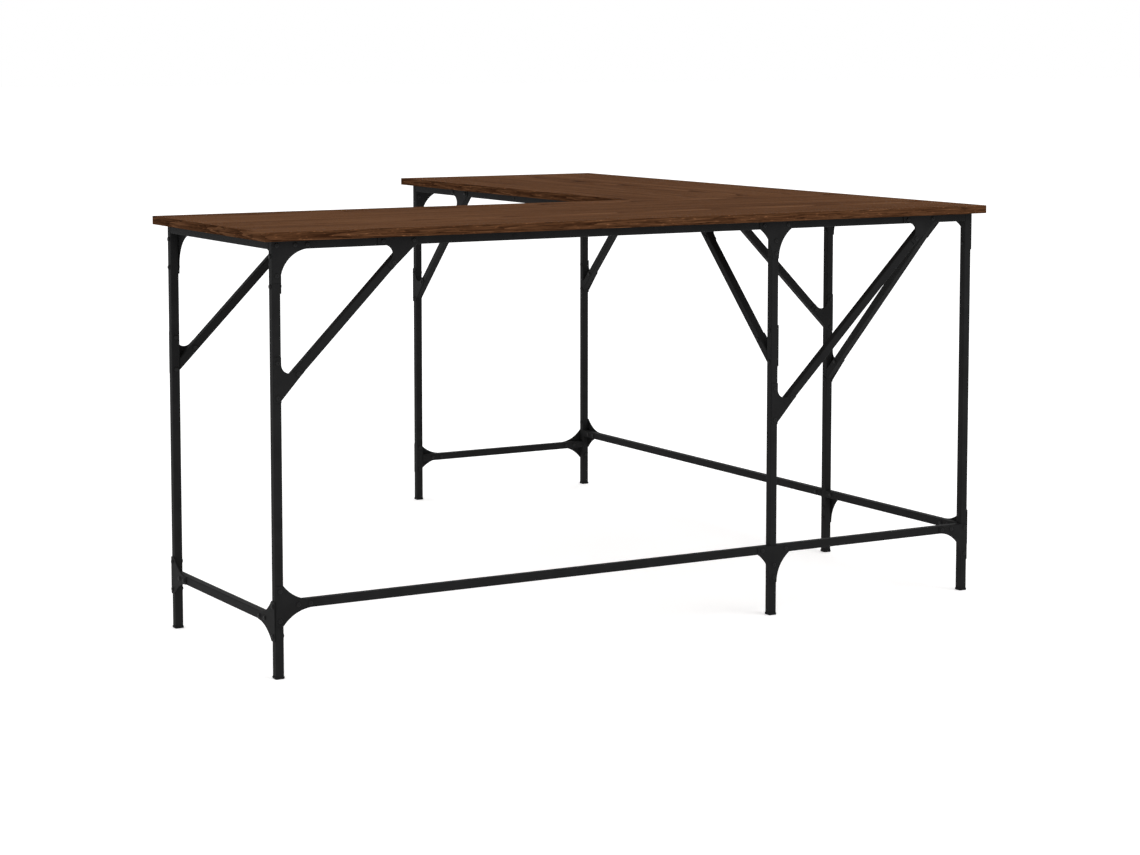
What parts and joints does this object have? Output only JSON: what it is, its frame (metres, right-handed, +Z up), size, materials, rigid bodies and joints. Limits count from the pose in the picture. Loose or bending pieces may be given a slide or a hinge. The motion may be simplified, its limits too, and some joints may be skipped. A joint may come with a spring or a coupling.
{
  "type": "corner desk",
  "caption": "L-shaped corner desk with a brown oak-look worktop on a bolted black square-tube frame with diagonal braces and gusset plates.",
  "frame": {"origin": "on the floor, under the middle of the desk's square outline", "axes": "+X along the long board towards the corner, +Y along the side board away from the long board, +Z up"},
  "size_m": [1.49, 1.49, 0.745],
  "materials": {
    "worktop": "brown oak veneer, satin, with grain along each board",
    "frame": "matt black powder coat",
    "feet": "matt black moulded plastic"
  },
  "bodies": {
    "root": {"board_long": "worktop", "board_side": "worktop", "brace_long_end_inner": "frame", "brace_long_end_outer": "frame", "brace_long_middle_inward": "frame", "brace_long_middle_to_corner": "frame", "brace_side_end_inner": "frame", "brace_side_end_outer": "frame", "brace_side_middle_inward": "frame", "brace_side_middle_to_corner": "frame", "bracket_inner_corner": "frame", "foot_corner": "feet", "foot_long_end_inner": "feet", "foot_long_end_outer": "feet", "foot_long_middle": "feet", "foot_side_end_inner": "feet", "foot_side_end_outer": "feet", "foot_side_middle": "feet", "leg_corner": "frame", "leg_long_end_inner": "frame", "leg_long_end_outer": "frame", "leg_long_middle": "frame", "leg_side_end_inner": "frame", "leg_side_end_outer": "frame", "leg_side_middle": "frame", "plate_low_corner": "frame", "plate_low_corner_side": "frame", "plate_low_long_end_inner": "frame", "plate_low_long_end_outer": "frame", "plate_low_long_end_outer_side": "frame", "plate_low_long_middle": "frame", "plate_low_side_end_inner": "frame", "plate_low_side_end_outer": "frame", "plate_low_side_end_outer_side": "frame", "plate_low_side_middle": "frame", "plate_top_corner": "frame", "plate_top_long_end_inner": "frame", "plate_top_long_end_outer": "frame", "plate_top_long_end_outer_inside": "frame", "plate_top_long_middle": "frame", "plate_top_side_end_inner": "frame", "plate_top_side_end_outer": "frame", "plate_top_side_end_outer_inside": "frame", "plate_top_side_middle": "frame", "rail_low_long": "frame", "rail_low_long_corner": "frame", "rail_low_long_end": "frame", "rail_low_side": "frame", "rail_low_side_corner": "frame", "rail_low_side_end": "frame", "rail_top_long_end": "frame", "rail_top_long_inner": "frame", "rail_top_long_outer": "frame", "rail_top_side_end": "frame", "rail_top_side_inner": "frame", "rail_top_side_inner_short": "frame", "rail_top_side_outer": "frame"}
  },
  "joints": []
}
